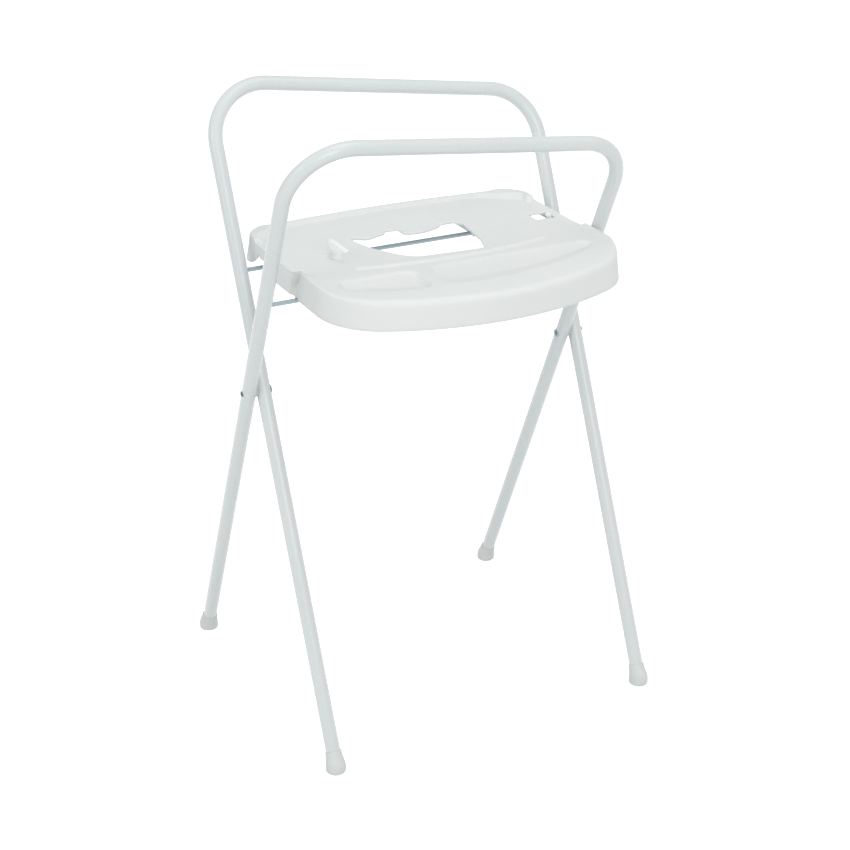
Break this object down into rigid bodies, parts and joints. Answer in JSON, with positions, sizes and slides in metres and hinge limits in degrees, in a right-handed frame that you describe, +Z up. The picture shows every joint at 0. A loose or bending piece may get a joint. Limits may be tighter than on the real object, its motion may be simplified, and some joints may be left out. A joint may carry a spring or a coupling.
{
  "type": "baby bath stand",
  "caption": "Folding steel-tube stand with crossed legs and raised handles, carrying a moulded tray with a drain opening, soap recesses and a hook that retains a baby bath.",
  "frame": {"origin": "on the floor, under the middle of the whole open stand", "axes": "+X to the right along the rods, +Y to the rear handle, +Z up; the tray's bowed front is at -Y"},
  "size_m": [0.633, 0.566, 1.0178],
  "materials": {
    "frame_enamel": "gloss white enamel",
    "tray_plastic": "satin moulded plastic",
    "hook_plastic": "smooth moulded plastic",
    "rod_zinc": "bright zinc plating",
    "rivet_steel": "dull plated steel",
    "foot_rubber": "pale matte rubber",
    "spacer_nylon": "grey nylon"
  },
  "bodies": {
    "front_handle_body": {"front_handle_frame": "frame_enamel", "front_rod": "rod_zinc", "foot_rear_left": "foot_rubber", "foot_rear_right": "foot_rubber", "rivet_left": "rivet_steel", "rivet_right": "rivet_steel", "washer_left": "rod_zinc", "washer_right": "rod_zinc", "spacer_left": "spacer_nylon", "spacer_right": "spacer_nylon"},
    "rear_handle_body": {"rear_handle_frame": "frame_enamel", "rear_rod": "rod_zinc", "foot_front_left": "foot_rubber", "foot_front_right": "foot_rubber"},
    "tray_body": {"tray": "tray_plastic", "bath_hook": "hook_plastic", "latch_pin": "rod_zinc"},
    "latch_body": {"bath_latch": "hook_plastic"}
  },
  "joints": [
    {"name": "fold", "type": "hinge", "parent": "front_handle_body", "child": "rear_handle_body", "pos_m": [0, 0.01285, 0.568], "axis": [1, 0, 0], "range_deg": [0, 36]},
    {"name": "tray_turn", "type": "hinge", "parent": "front_handle_body", "child": "tray_body", "pos_m": [0, -0.06677, 0.74271], "axis": [1, 0, 0], "range_deg": [0, 90]},
    {"name": "latch_press", "type": "hinge", "parent": "tray_body", "child": "latch_body", "pos_m": [0.252, 0.01785, 0.77421], "axis": [0, 1, 0], "range_deg": [0, 16], "stiffness_Nm_per_rad": 0.02}
  ],
  "couplings": [
    {"joint": "tray_turn", "follows": "fold", "ratio": 2.5}
  ]
}
